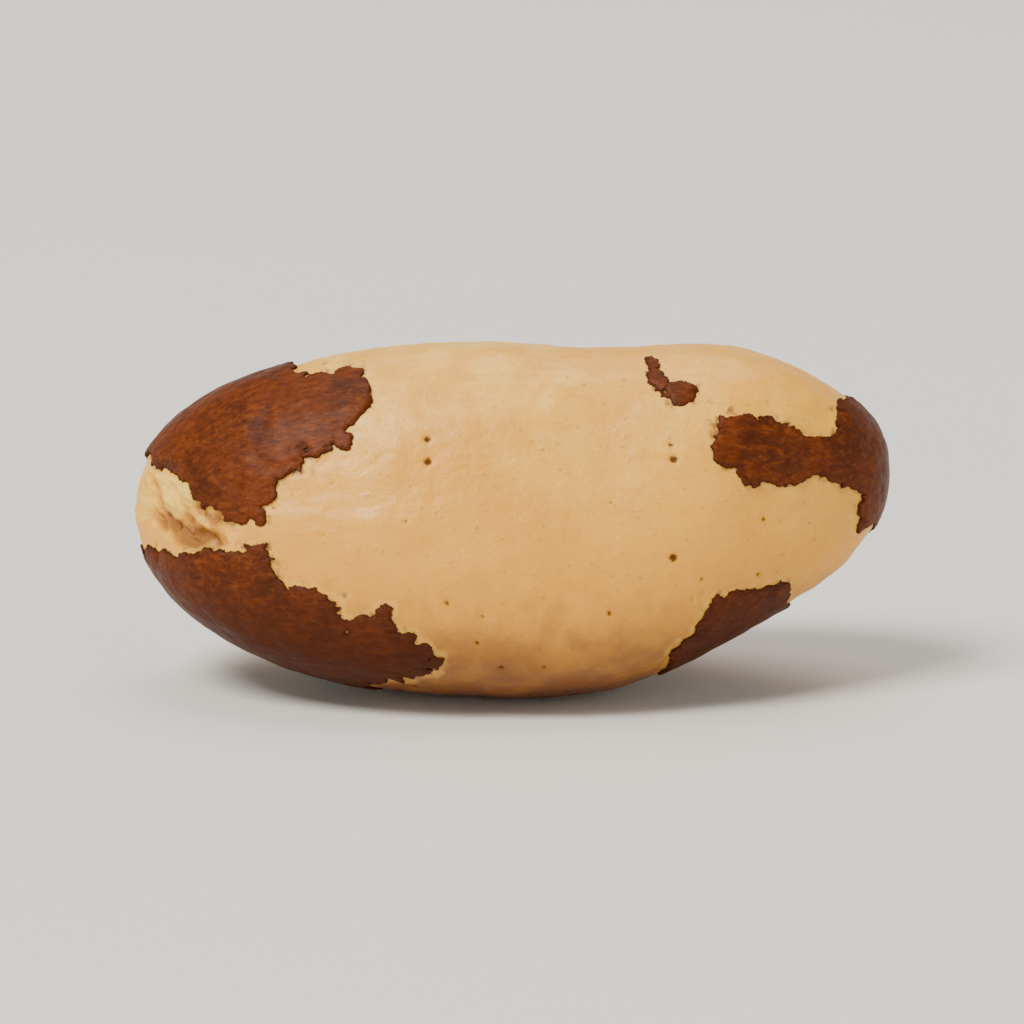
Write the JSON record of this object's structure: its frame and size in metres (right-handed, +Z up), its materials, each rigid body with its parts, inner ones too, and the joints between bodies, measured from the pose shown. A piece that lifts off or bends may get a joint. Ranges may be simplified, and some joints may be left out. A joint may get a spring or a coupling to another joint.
{
  "type": "brazil nut kernel",
  "caption": "Shelled brazil nut kernel lying on one of its three long faces: cream flesh, blunt and tapered ends, torn patches of raised skin.",
  "frame": {"origin": "on the surface that the kernel lies on, under the middle of its bounding box", "axes": "+X along the kernel towards its tapered end, -Y out of its broad front face, +Z up from the surface that it lies on"},
  "size_m": [0.036, 0.0186, 0.0165],
  "materials": {
    "flesh": null,
    "skin": null
  },
  "bodies": {
    "root": {"kernel": "flesh"}
  },
  "joints": []
}
